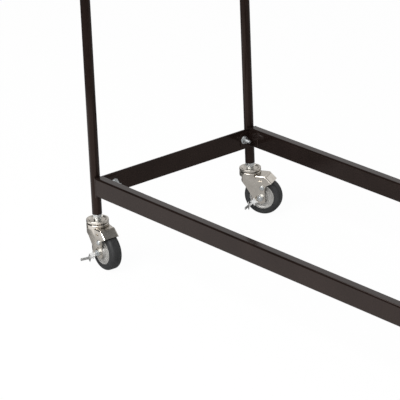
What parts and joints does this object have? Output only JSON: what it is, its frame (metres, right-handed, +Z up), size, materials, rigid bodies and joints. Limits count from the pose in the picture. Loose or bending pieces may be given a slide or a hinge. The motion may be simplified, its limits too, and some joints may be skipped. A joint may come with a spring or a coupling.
{
  "type": "rolling clothes rack",
  "caption": "Free-standing clothes rack on swivel casters with brakes: bent-tube end bows, low rectangular rails bolted to end bars, and a long hang rail on top.",
  "frame": {"origin": "on the floor under the middle of the rack", "axes": "+Z up, X along the hang rail and the long rails, -Y towards the front"},
  "size_m": [1.5566, 0.6338, 1.676],
  "materials": {
    "frame_paint": "glossy dark brown paint",
    "zinc_plate": "bright zinc plate",
    "caster_chrome": "bright plated pressed steel",
    "tyre_rubber": "satin grey rubber",
    "hub_metal": "light grey plated steel disc"
  },
  "bodies": {
    "frame": {"back_rail": "frame_paint", "caster_stems": "caster_chrome", "corner_bolts": "zinc_plate", "corner_brackets": "frame_paint", "corner_nuts": "zinc_plate", "corner_washers": "zinc_plate", "front_rail": "frame_paint", "hang_rail": "frame_paint", "hang_rail_bolts": "zinc_plate", "hang_rail_plugs": "zinc_plate", "left_end_bar": "frame_paint", "left_end_bow": "frame_paint", "right_end_bar": "frame_paint", "right_end_bow": "frame_paint", "stem_lock_nuts": "caster_chrome", "stem_sleeves": "zinc_plate", "swivel_caps": "caster_chrome"},
    "front_left_swivel": {"front_left_axle_bolt": "caster_chrome", "front_left_axle_nut": "caster_chrome", "front_left_axle_sleeve": "caster_chrome", "front_left_brake_rivet": "caster_chrome", "front_left_fork": "caster_chrome", "front_left_swivel_balls": "caster_chrome"},
    "front_left_wheel": {"front_left_tyre": "tyre_rubber", "front_left_wheel_hub": "hub_metal"},
    "front_left_brake": {"front_left_brake_lever": "caster_chrome", "front_left_brake_wing": "caster_chrome"},
    "back_left_swivel": {"back_left_axle_bolt": "caster_chrome", "back_left_axle_nut": "caster_chrome", "back_left_axle_sleeve": "caster_chrome", "back_left_brake_rivet": "caster_chrome", "back_left_fork": "caster_chrome", "back_left_swivel_balls": "caster_chrome"},
    "back_left_wheel": {"back_left_tyre": "tyre_rubber", "back_left_wheel_hub": "hub_metal"},
    "back_left_brake": {"back_left_brake_lever": "caster_chrome", "back_left_brake_wing": "caster_chrome"},
    "front_right_swivel": {"front_right_axle_bolt": "caster_chrome", "front_right_axle_nut": "caster_chrome", "front_right_axle_sleeve": "caster_chrome", "front_right_brake_rivet": "caster_chrome", "front_right_fork": "caster_chrome", "front_right_swivel_balls": "caster_chrome"},
    "front_right_wheel": {"front_right_tyre": "tyre_rubber", "front_right_wheel_hub": "hub_metal"},
    "front_right_brake": {"front_right_brake_lever": "caster_chrome", "front_right_brake_wing": "caster_chrome"},
    "back_right_swivel": {"back_right_axle_bolt": "caster_chrome", "back_right_axle_nut": "caster_chrome", "back_right_axle_sleeve": "caster_chrome", "back_right_brake_rivet": "caster_chrome", "back_right_fork": "caster_chrome", "back_right_swivel_balls": "caster_chrome"},
    "back_right_wheel": {"back_right_tyre": "tyre_rubber", "back_right_wheel_hub": "hub_metal"},
    "back_right_brake": {"back_right_brake_lever": "caster_chrome", "back_right_brake_wing": "caster_chrome"}
  },
  "joints": [
    {"name": "front_left_swivel_turn", "type": "hinge", "parent": "frame", "child": "front_left_swivel", "pos_m": [-0.7493, -0.2565, 0.119], "axis": [0, 0, 1], "continuous": true},
    {"name": "front_left_wheel_spin", "type": "hinge", "parent": "front_left_swivel", "child": "front_left_wheel", "pos_m": [-0.7134, -0.25914, 0.0508], "axis": [0.0732, 0.9973, 0], "continuous": true},
    {"name": "front_left_brake_press", "type": "hinge", "parent": "front_left_swivel", "child": "front_left_brake", "pos_m": [-0.70781, -0.25955, 0.08], "axis": [0.0732, 0.9973, 0], "range_deg": [0, 8]},
    {"name": "back_left_swivel_turn", "type": "hinge", "parent": "frame", "child": "back_left_swivel", "pos_m": [-0.7493, 0.2565, 0.119], "axis": [0, 0, 1], "continuous": true},
    {"name": "back_left_wheel_spin", "type": "hinge", "parent": "back_left_swivel", "child": "back_left_wheel", "pos_m": [-0.71788, 0.27406, 0.0508], "axis": [-0.4879, 0.8729, 0], "continuous": true},
    {"name": "back_left_brake_press", "type": "hinge", "parent": "back_left_swivel", "child": "back_left_brake", "pos_m": [-0.71299, 0.2768, 0.08], "axis": [-0.4879, 0.8729, 0], "range_deg": [0, 8]},
    {"name": "front_right_swivel_turn", "type": "hinge", "parent": "frame", "child": "front_right_swivel", "pos_m": [0.7493, -0.2565, 0.119], "axis": [0, 0, 1], "continuous": true},
    {"name": "front_right_wheel_spin", "type": "hinge", "parent": "front_right_swivel", "child": "front_right_wheel", "pos_m": [0.71788, -0.27406, 0.0508], "axis": [0.4879, -0.8729, 0], "continuous": true},
    {"name": "front_right_brake_press", "type": "hinge", "parent": "front_right_swivel", "child": "front_right_brake", "pos_m": [0.71299, -0.2768, 0.08], "axis": [0.4879, -0.8729, 0], "range_deg": [0, 8]},
    {"name": "back_right_swivel_turn", "type": "hinge", "parent": "frame", "child": "back_right_swivel", "pos_m": [0.7493, 0.2565, 0.119], "axis": [0, 0, 1], "continuous": true},
    {"name": "back_right_wheel_spin", "type": "hinge", "parent": "back_right_swivel", "child": "back_right_wheel", "pos_m": [0.7134, 0.25914, 0.0508], "axis": [-0.0732, -0.9973, 0], "continuous": true},
    {"name": "back_right_brake_press", "type": "hinge", "parent": "back_right_swivel", "child": "back_right_brake", "pos_m": [0.70781, 0.25955, 0.08], "axis": [-0.0732, -0.9973, 0], "range_deg": [0, 8]}
  ]
}
